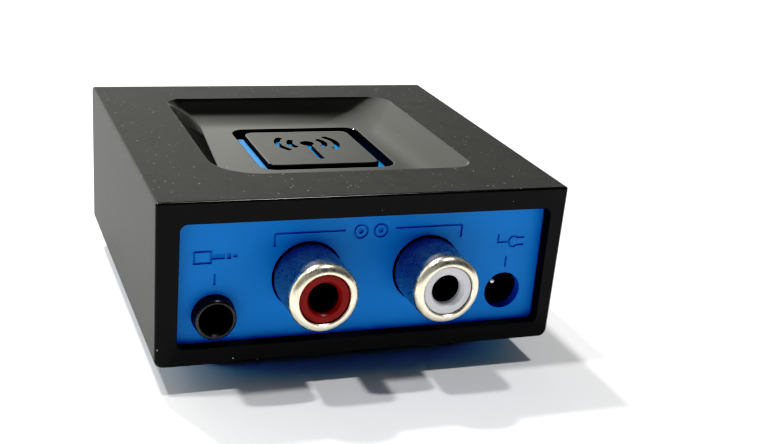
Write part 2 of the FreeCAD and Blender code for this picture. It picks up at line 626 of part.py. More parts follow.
NODES = {
    "top_shell": top_shell,
    "top_dish": top_dish,
    "light_ring": light_ring,
    "connector_panel": connector_panel,
    "bottom_cover": bottom_cover,
    "base_pad": base_pad,
    "button_cap": button_cap,
    "button_carrier": button_carrier,
    "switch_base": switch_base,
    "switch_cover": switch_cover,
    "switch_plunger": switch_plunger,
    "phono_red_body": lambda: phono_body(RED_X),
    "phono_red_sleeve": lambda: phono_sleeve(RED_X),
    "phono_red_contact": lambda: phono_contact(RED_X),
    "phono_white_body": lambda: phono_body(WHITE_X),
    "phono_white_sleeve": lambda: phono_sleeve(WHITE_X),
    "phono_white_contact": lambda: phono_contact(WHITE_X),
    "aux_jack_body": aux_jack_body,
    "aux_jack_contacts": aux_jack_contacts,
    "dc_jack_body": dc_jack_body,
    "dc_jack_pin": dc_jack_pin,
    "dc_jack_spring": dc_jack_spring,
    "main_board": main_board,
    "radio_chip": radio_chip,
    "flash_chip": flash_chip,
    "audio_chip": audio_chip,
    "crystal": crystal,
    "chip_antenna": chip_antenna,
    "power_inductor": power_inductor,
    "voltage_regulator": voltage_regulator,
    "electrolytic_capacitors": electrolytic_capacitors,
    "ceramic_capacitors": ceramic_capacitors,
    "chip_resistors": chip_resistors,
    "status_leds": status_leds,
    "case_screws": case_screws,
    "board_screws": board_screws,
}


def main():
    os.makedirs("parts", exist_ok=True)
    for name, make in NODES.items():
        shape = make()
        if not shape.isValid() or not shape.Solids:
            raise RuntimeError(name + " is not a valid solid")
        shape.exportStep(os.path.join("parts", name + ".step"))
        print(name, len(shape.Solids), "solids,", round(shape.Volume, 1), "mm3")


main()
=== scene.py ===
"""Looks of a desktop wireless audio receiver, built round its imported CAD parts.

Pieces are drawn in millimetres in the CAD's frame (origin under the pad, +Z up, the sockets face
-Y), then turned into metres. The shell, dish, panel, button cap and sockets are new meshes with
rounded edges. The other parts keep their CAD meshes and get materials.
"""

import bmesh
import bpy
import json
import math
from mathutils import Matrix, Vector


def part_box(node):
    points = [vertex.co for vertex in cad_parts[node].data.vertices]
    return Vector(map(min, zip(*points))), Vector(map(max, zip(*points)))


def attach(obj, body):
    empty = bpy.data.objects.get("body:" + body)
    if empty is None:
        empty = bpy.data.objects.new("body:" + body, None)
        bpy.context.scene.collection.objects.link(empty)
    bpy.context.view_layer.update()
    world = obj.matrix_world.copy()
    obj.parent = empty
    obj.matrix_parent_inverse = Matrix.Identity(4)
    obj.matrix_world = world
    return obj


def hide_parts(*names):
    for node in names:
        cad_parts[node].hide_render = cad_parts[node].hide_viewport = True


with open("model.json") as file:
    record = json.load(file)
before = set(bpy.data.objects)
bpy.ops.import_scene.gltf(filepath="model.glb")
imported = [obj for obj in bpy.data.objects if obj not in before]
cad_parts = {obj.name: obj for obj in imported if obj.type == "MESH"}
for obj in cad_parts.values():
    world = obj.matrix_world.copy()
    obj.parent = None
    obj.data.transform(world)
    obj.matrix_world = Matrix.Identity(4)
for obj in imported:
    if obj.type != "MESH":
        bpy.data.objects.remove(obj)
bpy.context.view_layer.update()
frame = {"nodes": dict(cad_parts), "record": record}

MM = 0.001


def box_mm(node):
    low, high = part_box(node)
    return [c / MM for c in low], [c / MM for c in high]


MOUNTS = {m["name"]: [c / MM for c in m["pos_m"]] for m in frame["record"]["mounts"]}

# ---- fineness of the meshes -----------------------------------------------------------------
ARC_STEPS = 14  # round a corner
SIDE_STEPS = 10  # along a side of a rectangle
DISH_SIDE_STEPS = 64  # along a side of the dish and of its well
DISH_STEPS = 60  # from the dish's rim to the well
EDGE_STEPS = 5  # round an edge of the shell, and the lip of the well
CAP_EDGE_STEPS = 6
PIN_STEPS = 10
TURN_STEPS = 128  # round a circle
SMALL_TURN_STEPS = 48
MARK_STEPS = 24
WELD = 1e-5  # points closer than this are made one

# ---- dimensions, in mm ----------------------------------------------------------------------
SHELL_LOW, SHELL_HIGH = box_mm("top_shell")
HALF = SHELL_HIGH[0]
HEIGHT = SHELL_HIGH[2]
STAND = SHELL_LOW[2]
DRAFT = 0.27  # how far the walls lean in on their way down
EDGE_R = 0.35
SIDE_LOW_R = 1.1  # lower corners, seen from the front
CAVITY = 23.8
CAVITY_R = 0.5
CEILING = 22.4
PAST = 1  # how far a cutter reaches past what it cuts

PANEL_LOW, PANEL_HIGH = box_mm("connector_panel")
PANEL_FACE = PANEL_LOW[1]
PANEL_R = 0.5
WINDOW = (-22.7, 23.45, STAND + 2.2, STAND + 17.7)
WINDOW_R = 0.9
WINDOW_EDGE_R = 0.12

DISH = (-16.5, 17.0, -16.5, 18.2)  # x0, x1, y0, y1 of its rim
DISH_R = 3.0
DISH_FRONT_LEFT_R = 6.0
DISH_DEPTH = 2.0
DISH_FLOOR = HEIGHT - DISH_DEPTH
DISH_FLANGE = 1.1
FLANGE_THICK = 0.2
RIM_GAP = 0.03  # the dish's surface starts this far inside its rim
SHADE_TO = 6.5  # the steep side facing +X has painted shade from the front to here
STEEP_FRONT = 1.7  # width of the steep side, which runs round the rim, at the front
STEEP_EVEN = 5  # how far to the rear it keeps that width
STEEP_GROWTH = 0.095  # how much wider it gets with each mm after that
SLOPE_LOW = (-16.0, 9.2, -30.0, 9.0, 6.5)  # x0, x1, y0, y1, corner: the gentle slope's foot
SLOPE_HIGH = (-22.0, 17.0, -30.0, 18.2, 3.0)  # and where it would reach the top
SLOPE_BEND = 0.6  # the part of its way in which it steepens
SLOPE_BLEND = 0.06  # how softly it meets the steep side, as a share of the depth
WELL = (-9.0, 9.1, -9.2, 8.6)
WELL_R = 2.0
LIP_R = 0.22
RING_TOP = DISH_FLOOR - 1.5
WELL_FOOT = 1.05  # how far the dish goes out under the well's foot

CAP_LOW, CAP_HIGH = box_mm("button_cap")
BUTTON_HALF = CAP_HIGH[0]
BUTTON_R = 1.3
CAP_EDGE = 0.28
CAP_FOOT = 0.05
CAP_SKIN = 0.6
MAST_HALF = 0.4  # half the width of the mark's lines
MAST_Y = 1.7
MAST_FOOT = -5.2
MAST_DOT_R = 0.95
WAVE_RADII = (2.4, 4.1)
WAVE_HALF_DEG = 42

LINE = 0.26  # width of the panel's engraved lines
MARK_DEPTH = 0.2
BRACKET_Z = STAND + 15.6
BRACKET_REACH = 11.8  # from the middle of the two phono sockets to the bracket's end
BRACKET_GAP = 3.2
BRACKET_DROP = 1.75
EYE_X = 1.25  # the two rings between the brackets
EYE_R = 0.95
EYE_DOT_R = 0.32
EYE_DROP = 0.35
TICK_Z = (STAND + 9.5, STAND + 10.9)
SIGN_Z = STAND + 13.0
GRIP = (-2.6, -0.4, 0.85)  # x0, x1 and half height of the headphone plug's grip
RODS = ((-0.41, 1.1, 0.35), (1.35, 1.85, 0.35), (2.1, 2.6, 0.2))  # and of its pin's parts
POWER_X = 0.3
POWER_R = 0.8
POWER_MOUTH = 0.35

PHONO_R = 4.2
PHONO_TUBE_R = 3.05
PHONO_BORE_R = 1.8
PHONO_NECK = 0.2  # how much thinner the barrel is behind the panel's face
PHONO_FLANGE = 0.6
LIP_ROUND = 1.0
INSULATOR_SINK = 0.25
INSULATOR_R = 3.0
INSULATOR_FOOT_R = 4.0
INSULATOR_BACK = -18.0
BORE_LIT = 1.1  # how deep the coloured ring's own colour goes into its bore; deeper, the bore has painted shade
JACK_FACE = PANEL_HIGH[1] + 0.05
JACK_EDGE_R = 0.2

AUX_BORE_R = 1.8
AUX_NOSE_R = 2.5
AUX_ROOT_R = 2.75
AUX_BACK = -11.4
INLET_MOUTH_R = 2.36
INLET_BORE_R = 1.8
INLET_BACK = -14.0
PIN_R = 0.65
PIN_TIP_R = 0.004  # closes the pin's ends all but for a point
PIN_ROOT_R = 0.9
PIN_BACK = -11.6
PIN_HOLE_R = 0.93
PANEL_HOLES = {
    "aux_socket": 2.58,
    "dc_inlet_pin": 2.4,
    "phono_red_barrel": PHONO_R + 0.15,
    "phono_white_barrel": PHONO_R + 0.15,
}


# ---- outlines -------------------------------------------------------------------------------
def quarter_turn(steps):
    """Angles from 0 to 90 degrees, in radians."""
    return [math.pi / 2 * n / steps for n in range(steps + 1)]


def round_rect(x0, x1, y0, y1, r, side_steps=SIDE_STEPS, last_r=None):
    """Anticlockwise outline of a rectangle with round corners, from the lower right one.

    It has the same number of points for any size. last_r is for the lower left corner.
    """
    radii = (r, r, r, last_r or r)
    centres = [
        (x1 - radii[0], y0 + radii[0]), (x1 - radii[1], y1 - radii[1]),
        (x0 + radii[2], y1 - radii[2]), (x0 + radii[3], y0 + radii[3]),
    ]
    points = []
    for k, (cx, cy) in enumerate(centres):
        r = radii[k]
        start = math.radians(90 * k - 90)
        for a in quarter_turn(ARC_STEPS):
            points.append((cx + r * math.cos(start + a), cy + r * math.sin(start + a)))
        ax, ay = points[-1]
        nx, ny = centres[(k + 1) % 4]
        next_r, end = radii[(k + 1) % 4], start + math.pi / 2
        bx, by = nx + next_r * math.cos(end), ny + next_r * math.sin(end)
        for n in range(1, side_steps):
            t = n / side_steps
            points.append((ax + (bx - ax) * t, ay + (by - ay) * t))
    return points


def square(half, r):
    return round_rect(-half, half, -half, half, r)


def grown(box, grow, r, last_r):
    """Round-cornered outline over box, which is (x0, x1, y0, y1), made larger on every side."""
    x0, x1, y0, y1 = box
    return round_rect(
        x0 - grow, x1 + grow, y0 - grow, y1 + grow, r + grow, DISH_SIDE_STEPS, last_r + grow
    )


def dish_outline(grow):
    return grown(DISH, grow, DISH_R, DISH_FRONT_LEFT_R)


def well_outline(grow):
    return grown(WELL, grow, WELL_R, WELL_R)


def circle(cx, cy, r, steps=TURN_STEPS):
    turns = [math.tau * n / steps for n in range(steps)]
    return [(cx + r * math.cos(a), cy + r * math.sin(a)) for a in turns]


def rect(x0, x1, y0, y1):
    return [(x0, y0), (x1, y0), (x1, y1), (x0, y1)]


def arc_points(centre, r, a0, a1, steps):
    turns = [a0 + (a1 - a0) * n / steps for n in range(steps + 1)]
    return [(centre[0] + r * math.cos(a), centre[1] + r * math.sin(a)) for a in turns]


def band_arc(cx, cy, r, half_line, middle_deg, half_deg, steps=28):
    """Outline of a piece of a ring."""
    a0, a1 = math.radians(middle_deg - half_deg), math.radians(middle_deg + half_deg)
    outer = arc_points((cx, cy), r + half_line, a0, a1, steps)
    inner = arc_points((cx, cy), r - half_line, a0, a1, steps)
    return outer + inner[::-1]


def soften(corners, steps=6):
    """A closed outline of (x, y, r) corners with each corner rounded by its own radius."""
    points = []
    for n, (x, y, r) in enumerate(corners):
        p = Vector((x, y))
        if r <= 0:
            points.append((x, y))
            continue
        back = (Vector(corners[n - 1][:2]) - p).normalized()
        on = (Vector(corners[(n + 1) % len(corners)][:2]) - p).normalized()
        half_angle = back.angle(on) / 2
        middle = p + (back + on).normalized() * (r / math.sin(half_angle))
        reach = r / math.tan(half_angle)
        first, last = p + back * reach - middle, p + on * reach - middle
        a0 = math.atan2(first.y, first.x)
        turn = math.atan2(last.y, last.x) - a0
        turn = (turn + math.pi) % math.tau - math.pi
        points += arc_points(middle, r, a0, a0 + turn, steps)
    return points


# ---- meshes ---------------------------------------------------------------------------------
def mesh_object(name, verts, faces):
    mesh = bpy.data.meshes.new(name)
    mesh.from_pydata(verts, [], faces)
    work = bmesh.new()
    work.from_mesh(mesh)
    bmesh.ops.remove_doubles(work, verts=work.verts, dist=WELD)
    bmesh.ops.recalc_face_normals(work, faces=work.faces)
    work.to_mesh(mesh)
    work.free()
    piece = bpy.data.objects.new(name, mesh)
    bpy.context.scene.collection.objects.link(piece)
    return piece


def loft(name, loops, closed=False):
    """A skin through loops of equal length. Its ends are capped, or joined to each other."""
    count, rings = len(loops[0]), len(loops)
    faces = []
    for i in range(rings if closed else rings - 1):
        a, b = i * count, (i + 1) % rings * count
        faces += [(a + n, a + (n + 1) % count, b + (n + 1) % count, b + n) for n in range(count)]
    if not closed:
        faces.append(tuple(range(count))[::-1])
        faces.append(tuple(range((rings - 1) * count, rings * count)))
    return mesh_object(name, [p for loop in loops for p in loop], faces)


def level(outline, z):
    return [(x, y, z) for x, y in outline]


def upright(outline, y):
    """An outline drawn on the XZ plane, at depth y."""
    return [(x, y, z) for x, z in outline]


def prism_z(outline, z0, z1):
    return loft("cutter", [level(outline, z0), level(outline, z1)])


def prism_y(outline, y0, y1):
    return loft("cutter", [upright(outline, y0), upright(outline, y1)])


def lathe(name, profile, x, z):
    """Turns a closed profile of (radius, y) points about the line along Y through (x, z)."""
    loops = [[(x + cx, y, z + cz) for cx, cz in circle(0, 0, r)] for r, y in profile]
    return loft(name, loops, closed=True)


def apply_modifiers(piece):
    graph = bpy.context.evaluated_depsgraph_get()
    made = bpy.data.meshes.new_from_object(piece.evaluated_get(graph))
    piece.modifiers.clear()
    piece.data = made


def combine(piece, tool, operation):
    modifier = piece.modifiers.new("combine", "BOOLEAN")
    modifier.operation = operation
    modifier.solver = "EXACT"
    modifier.object = tool
    apply_modifiers(piece)
    bpy.data.objects.remove(tool)


def cut(piece, *tools):
    for tool in tools:
        combine(piece, tool, "DIFFERENCE")


def soften_edges(piece, width, segments=2, above_deg=32):
    """Rounds every edge that is sharper than above_deg."""
    modifier = piece.modifiers.new("edges", "BEVEL")
    modifier.width = width
    modifier.segments = segments
    modifier.limit_method = "ANGLE"
    modifier.angle_limit = math.radians(above_deg)
    modifier.miter_outer = "MITER_ARC"
    apply_modifiers(piece)


def place(piece, body, node, materials, choose=None, sharp_deg=38):
    """Paints and shades a finished mesh, turns it into metres and hands it to its CAD body.

    choose gives the number of a face's material. Without it, every face has the first.
    """
    for material in materials:
        piece.data.materials.append(material)
    if choose:
        for face in piece.data.polygons:
            face.material_index = choose(face)
    piece.data.shade_smooth()
    piece.data.set_sharp_from_angle(angle=math.radians(sharp_deg))
    modifier = piece.modifiers.new("normals", "WEIGHTED_NORMAL")
    modifier.keep_sharp = True
    modifier.weight = 80
    apply_modifiers(piece)
    piece.data.transform(Matrix.Scale(MM, 4))
    piece.data.update()
    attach(piece, body)
    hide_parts(node)


# ---- materials ------------------------------------------------------------------------------
NOISE_SPAN = (0.3, 0.7)  # nearly all of a noise's values lie between these
SMOOTHEST = 0.02
DUST_ROUGHNESS = 0.9
DUST_ON_SIDES = 0.2  # specks on an upright face, as a share of those on a level one
DUST_FACING = (0.3, 0.7)  # the normal's Z, from few specks to all
LIGHT_REACH = (0.0006, 0.0006, 0.0008)  # of red, green and blue under a surface, in metres


def link(tree, out, into):
    tree.links.new(out, into)


def feed(tree, source, into):
    """Gives an input its source, which is a colour, a number or another node's output."""
    if isinstance(source, tuple):
        into.default_value = (*source, 1.0)
    elif isinstance(source, (int, float)):
        into.default_value = source
    else:
        link(tree, source, into)


def noise(tree, coords, scale, detail, roughness=0.55):
    """Noise of that many features per mm."""
    node = tree.nodes.new("ShaderNodeTexNoise")
    node.inputs["Scale"].default_value = scale
    node.inputs["Detail"].default_value = detail
    node.inputs["Roughness"].default_value = roughness
    link(tree, coords, node.inputs["Vector"])
    return node.outputs["Fac"]


def remap(tree, source, low, high, start, end):
    """Goes from low, where source is at start, to high, where it is at end."""
    node = tree.nodes.new("ShaderNodeMapRange")
    node.inputs["From Min"].default_value = start
    node.inputs["From Max"].default_value = end
    node.inputs["To Min"].default_value = low
    node.inputs["To Max"].default_value = high
    link(tree, source, node.inputs["Value"])
    return node.outputs["Result"]


def blend_colours(tree, factor, first, second):
    """Mixes two colours, each a tuple or a socket."""
    node = tree.nodes.new("ShaderNodeMix")
    node.data_type = "RGBA"
    link(tree, factor, node.inputs["Factor"])
    colours = {s.name: s for s in node.inputs if s.type == "RGBA"}
    feed(tree, first, colours["A"])
    feed(tree, second, colours["B"])
    return next(s for s in node.outputs if s.type == "RGBA")


def arithmetic(tree, operation, first, second):
    node = tree.nodes.new("ShaderNodeMath")
    node.operation = operation
    feed(tree, first, node.inputs[0])
    feed(tree, second, node.inputs[1])
    return node.outputs[0]


def specks(tree, coords, per_mm, size, share):
    """Factor that is 1 on small scattered specks, mostly where a face looks up.

    They lie in cells, per_mm of them to a mm. A cell has a speck with the chance share, and its
    radius is up to size cells.
    """
    cells = tree.nodes.new("ShaderNodeTexVoronoi")
    cells.inputs["Scale"].default_value = per_mm
    link(tree, coords, cells.inputs["Vector"])
    split = tree.nodes.new("ShaderNodeSeparateColor")
    link(tree, cells.outputs["Color"], split.inputs[0])
    radius = arithmetic(tree, "MULTIPLY", split.outputs[1], size)
    near = arithmetic(tree, "LESS_THAN", cells.outputs["Distance"], radius)
    facing = tree.nodes.new("ShaderNodeSeparateXYZ")
    link(tree, tree.nodes.new("ShaderNodeNewGeometry").outputs["Normal"], facing.inputs[0])
    here = remap(tree, facing.outputs["Z"], share * DUST_ON_SIDES, share, *DUST_FACING)
    chosen = arithmetic(tree, "LESS_THAN", split.outputs[0], here)
    return arithmetic(tree, "MULTIPLY", near, chosen)


def surface(
    name,
    colour,
    rough,
    metallic=0.0,
    specular=0.5,
    tint=0.12,
    tint_scale=0.25,
    rough_spread=0.05,
    rough_scale=0.8,
    grain=0.004,
    grain_scale=6.0,
    second_colour=None,
    dust=None,
    dust_colour=(0.26, 0.26, 0.25),
    stretch=(1.0, 1.0, 1.0),
    subsurface=0.0,
):
    """A node material. Scales are features per mm, and grain is the height of its bumps in mm.

    tint and rough_spread say how far colour and roughness vary. dust holds the last three
    arguments of specks(). stretch multiplies the scales along X, Y and Z.
    """
    material = bpy.data.materials.new(name)
    material.use_nodes = True
    tree = material.node_tree
    shader = tree.nodes["Principled BSDF"]
    place_node = tree.nodes.new("ShaderNodeTexCoord")
    in_mm = tree.nodes.new("ShaderNodeMapping")
    in_mm.inputs["Scale"].default_value = [s / MM for s in stretch]
    link(tree, place_node.outputs["Object"], in_mm.inputs["Vector"])
    coords = in_mm.outputs["Vector"]

    darker = tuple(c * (1 - tint) for c in colour)
    lighter = tuple(min(1.0, c * (1 + tint)) for c in (second_colour or colour))
    patches = remap(tree, noise(tree, coords, tint_scale, 4), 0.0, 1.0, *NOISE_SPAN)
    paint = blend_colours(tree, patches, darker, lighter)
    smoothest, roughest = max(SMOOTHEST, rough - rough_spread), rough + rough_spread
    wear = noise(tree, coords, rough_scale, 5)
    roughness = remap(tree, wear, smoothest, roughest, *NOISE_SPAN)
    if dust:
        on_speck = specks(tree, coords, *dust)
        paint = blend_colours(tree, on_speck, paint, dust_colour)
        dusty = arithmetic(tree, "MULTIPLY", on_speck, DUST_ROUGHNESS)
        roughness = arithmetic(tree, "MAXIMUM", roughness, dusty)
    link(tree, paint, shader.inputs["Base Color"])
    link(tree, roughness, shader.inputs["Roughness"])

    bump = tree.nodes.new("ShaderNodeBump")
    bump.inputs["Strength"].default_value = 1.0
    bump.inputs["Distance"].default_value = grain * MM
    link(tree, noise(tree, coords, grain_scale, 4, 0.6), bump.inputs["Height"])
    link(tree, bump.outputs["Normal"], shader.inputs["Normal"])

    shader.inputs["Metallic"].default_value = metallic
    shader.inputs["Specular IOR Level"].default_value = specular
    if subsurface:
        shader.inputs["Subsurface Weight"].default_value = subsurface
        shader.inputs["Subsurface Radius"].default_value = LIGHT_REACH
    return material


SHELL_BLACK = surface(
    "shell_black", (0.023, 0.023, 0.0223), 0.55, specular=0.125, tint=0.08, tint_scale=0.35,
    rough_spread=0.02, rough_scale=1.5, grain=0.010, grain_scale=7.0, dust=(1.6, 0.17, 0.45),
    dust_colour=(0.24, 0.24, 0.235),
)
# painted sheen: a darker, more specular copy of the shell's black, so the side walls look brighter
# than the top
SHELL_SIDE_PAINTED_SHEEN = surface(
    "shell_side_painted_sheen", (0.016, 0.016, 0.0155), 0.53, specular=0.32, tint=0.08, tint_scale=0.35,
    rough_spread=0.02, rough_scale=1.5, grain=0.010, grain_scale=7.0, dust=(1.6, 0.17, 0.3),
    dust_colour=(0.24, 0.24, 0.235),
)
SHELL_FRONT = surface(
    "shell_front", (0.008, 0.008, 0.008), 0.2, specular=0.24, tint=0.1, tint_scale=0.35,
    rough_spread=0.05, rough_scale=1.5, grain=0.003, grain_scale=6.0, dust=(1.0, 0.13, 0.5),
    dust_colour=(0.3, 0.3, 0.3),
)
DISH_BLACK = surface(
    "dish_black", (0.008, 0.008, 0.0075), 0.06, tint=0.1, rough_spread=0.02, grain=0.0004,
    grain_scale=1.2, dust=(0.9, 0.08, 0.05),
)
# painted shade: a darker, duller copy of the dish's black, for the steep side facing +X at the
# front and for the well
DISH_PAINTED_SHADE = surface(
    "dish_painted_shade", (0.003, 0.003, 0.003), 0.45, specular=0.1, tint=0.1, rough_spread=0.05,
    grain=0.002, grain_scale=5.0,
)
# painted shade: a darker, duller copy of the cap's black, which takes away the highlights on its
# sides and front edge
CAP_PAINTED_SHADE = surface(
    "cap_painted_shade", (0.006, 0.006, 0.006), 0.55, specular=0.15, tint=0.1, rough_spread=0.05,
    grain=0.003, grain_scale=7.0,
)
CAP_BLACK = surface(
    "cap_black", (0.012, 0.012, 0.012), 0.2, specular=0.37, tint=0.1, rough_spread=0.03,
    grain=0.0012, grain_scale=9.0,
)
BLUE = surface(
    "blue_plastic", (0.009, 0.19, 0.71), 0.42, specular=0.35, tint=0.05, tint_scale=0.12,
    rough_spread=0.05, grain=0.005, grain_scale=5.0,
)
# painted shade: a darker blue for the floors of the engraved marks
BLUE_MARK_PAINTED_SHADE = surface(
    "blue_mark_painted_shade", (0.006, 0.14, 0.56), 0.5, specular=0.3, tint=0.08, tint_scale=0.6, grain=0.004,
    grain_scale=8.0,
)
COVER_BLUE = surface(
    "cover_blue", (0.02, 0.19, 0.43), 0.45, specular=0.4, tint=0.07, tint_scale=0.15,
    rough_spread=0.06, grain=0.008, grain_scale=4.0, dust=(0.7, 0.12, 0.06),
)
GLOW_BLUE = surface(
    "glow_blue", (0.015, 0.2, 0.5), 0.3, specular=0.2, tint=0.1, tint_scale=0.4,
    rough_spread=0.05, grain=0.002, grain_scale=3.0,
)
PAD_RUBBER = surface(
    "pad_rubber", (0.02, 0.021, 0.024), 0.8, specular=0.3, tint=0.2, tint_scale=0.6,
    rough_spread=0.08, grain=0.03, grain_scale=4.0, dust=(1.6, 0.24, 0.25),
)
NICKEL = surface(
    "nickel", (0.78, 0.71, 0.55), 0.26, metallic=1.0, tint=0.06, tint_scale=0.8,
    rough_spread=0.05, rough_scale=2.0, grain=0.0012, grain_scale=2.5,
    second_colour=(0.83, 0.77, 0.63),
)
# painted shade: a darker copy of the nickel for the barrel's shaft behind its lip
NICKEL_PAINTED_SHADE = surface(
    "nickel_painted_shade", (0.44, 0.39, 0.37), 0.3, metallic=1.0, tint=0.06, tint_scale=0.8,
    rough_spread=0.05, rough_scale=2.0, grain=0.0022, grain_scale=5.0,
)
RED_PLASTIC = surface(
    "red_plastic", (0.21, 0.016, 0.014), 0.42, specular=0.3, tint=0.12, tint_scale=0.7,
    rough_spread=0.06, grain=0.004, grain_scale=4.0,
)
WHITE_PLASTIC = surface(
    "white_plastic", (0.72, 0.72, 0.76), 0.38, tint=0.05, tint_scale=0.7, rough_spread=0.06,
    grain=0.004, grain_scale=4.0, subsurface=0.15,
)
SOCKET_BLACK = surface(
    "socket_black", (0.013, 0.013, 0.014), 0.33, tint=0.15, tint_scale=0.8, rough_spread=0.07,
    grain=0.004, grain_scale=5.0,
)
# painted shade: near black, for the deep part of the bores and for the barrels' part inside the
# panel's holes
BORE_PAINTED_SHADE = surface(
    "bore_painted_shade", (0.004, 0.004, 0.004), 0.6, specular=0.1, tint=0.2, tint_scale=0.8,
    rough_spread=0.07, grain=0.004, grain_scale=5.0,
)
PIN_METAL = surface(
    "pin_metal", (0.85, 0.83, 0.78), 0.22, metallic=1.0, tint=0.05, rough_spread=0.05,
    grain=0.002, grain_scale=6.0,
)
CONTACT_METAL = surface(
    "contact_metal", (0.78, 0.62, 0.32), 0.3, metallic=1.0, tint=0.1, tint_scale=1.0,
    rough_spread=0.08, grain=0.003, grain_scale=5.0, stretch=(1.0, 0.3, 1.0),
)
BOARD_GREEN = surface(
    "board_green", (0.015, 0.11, 0.045), 0.35, tint=0.25, tint_scale=0.9, rough_spread=0.08,
    grain=0.02, grain_scale=1.2, second_colour=(0.03, 0.2, 0.08),
)
CHIP_BLACK = surface(
    "chip_black", (0.02, 0.02, 0.021), 0.6, tint=0.2, tint_scale=1.5, rough_spread=0.08,
    grain=0.01, grain_scale=9.0,
)
CAN_METAL = surface(
    "can_metal", (0.72, 0.72, 0.74), 0.3, metallic=1.0, tint=0.08, tint_scale=0.9,
    rough_spread=0.1, grain=0.003, grain_scale=3.0, stretch=(1.0, 1.0, 0.25),
)
CERAMIC_TAN = surface(
    "ceramic_tan", (0.48, 0.34, 0.2), 0.5, tint=0.15, tint_scale=1.5, grain=0.01, grain_scale=6.0,
)
CERAMIC_WHITE = surface(
    "ceramic_white", (0.75, 0.75, 0.72), 0.4, tint=0.06, tint_scale=1.0, grain=0.006,
    grain_scale=5.0,
)
LED_CLEAR = surface(
    "led_clear", (0.55, 0.72, 0.85), 0.15, tint=0.1, tint_scale=2.0, grain=0.003, grain_scale=4.0,
)
SCREW_STEEL = surface(
    "screw_steel", (0.5, 0.5, 0.52), 0.32, metallic=1.0, tint=0.12, tint_scale=1.4,
    rough_spread=0.1, grain=0.006, grain_scale=5.0,
)


# ---- housing --------------------------------------------------------------------------------
def wall_outline(inset):
    """The shell seen from the front: walls that lean in downwards, with round lower corners."""
    low, high = STAND + inset, HEIGHT - inset
    wide = HALF - inset
    narrow = wide - DRAFT
    low_r = SIDE_LOW_R - inset
    high_r = max(EDGE_R - inset, 0.02)
    corners = [
        (-narrow, low, low_r), (narrow, low, low_r), (wide, high, high_r), (-wide, high, high_r),
    ]
    return soften(corners, 9)


def make_shell():
    """Four leaning walls, a frame round the sockets and a square opening in the top."""

    def end(side, inset, back_off):
        return [
            (x, side * (HALF - DRAFT * (HEIGHT - z) / (HEIGHT - STAND) - back_off), z)
            for x, z in wall_outline(inset)
        ]

    def rounded_end(side):
        return [
            end(side, EDGE_R * (1 - math.sin(a)), EDGE_R * (1 - math.cos(a)))
            for a in quarter_turn(EDGE_STEPS)
        ]

    shell = loft("shell", rounded_end(-1) + rounded_end(1)[::-1])
    inside = round_rect(-CAVITY, CAVITY, PANEL_FACE, CAVITY, CAVITY_R)
    window = round_rect(*WINDOW, WINDOW_R)
    cut(
        shell,
        prism_z(inside, STAND - PAST, CEILING),
        prism_y(window, -HALF - 2 * PAST, PANEL_FACE + PAST),
    )
    soften_edges(shell, WINDOW_EDGE_R)
    cut(shell, prism_z(dish_outline(0.01), CEILING - PAST, HEIGHT + PAST))

    def choose(face):
        if face.normal.y < -0.35 and face.center.y < PANEL_FACE:
            return 2  # the front
        return int(abs(face.normal.x) > 0.7 and abs(face.center.x) > CAVITY)  # a side, which takes the copy with painted sheen

    materials = [SHELL_BLACK, SHELL_SIDE_PAINTED_SHEEN, SHELL_FRONT]
    place(shell, "housing", "top_shell", materials, choose)


def outline_distance(x, y, x0, x1, y0, y1, r):
    """How far a point lies outside a rectangle with round corners. Inside it is negative."""
    dx = max(x0 + r - x, x - x1 + r)
    dy = max(y0 + r - y, y - y1 + r)
    return math.hypot(max(dx, 0), max(dy, 0)) + min(max(dx, dy), 0) - r


def soft_max(a, b, width):
    """The larger of two heights, blended where they are within width of each other."""
    near = max(width - abs(a - b), 0.0) / width
    return max(a, b) + near * near * width / 4


def gentle_rise(x, y):
    """Share of the dish's depth that the gentle slope has climbed at a point."""
    if outline_distance(x, y, *SLOPE_LOW) <= 0:
        return 0.0
    low, high = 0.0, 1.0
    for _ in range(20):  # halves the span in which an outline passes through the point
        t = (low + high) / 2
        between = [a + (b - a) * t for a, b in zip(SLOPE_LOW, SLOPE_HIGH)]
        if outline_distance(x, y, *between) > 0:
            low = t
        else:
            high = t
    bend = SLOPE_BEND
    climbed = high * high / (2 * bend) if high < bend else high - bend / 2
    return climbed / (1 - bend / 2)


def steep_width(y):
    return STEEP_FRONT + STEEP_GROWTH * max(y - DISH[2] - STEEP_EVEN, 0.0)


def dish_height(x, y):
    """A steep side all round the rim, and longer, gentler slopes to the right and the rear."""
    corner = DISH_FRONT_LEFT_R if x < 0 and y < 0 else DISH_R
    inside = -outline_distance(x, y, *DISH, corner)
    if inside < 0.05:
        return HEIGHT
    steep = max(1 - inside / steep_width(y), 0.0)
    risen = soft_max(steep, gentle_rise(x, y), SLOPE_BLEND)
    return DISH_FLOOR + DISH_DEPTH * min(risen, 1.0)


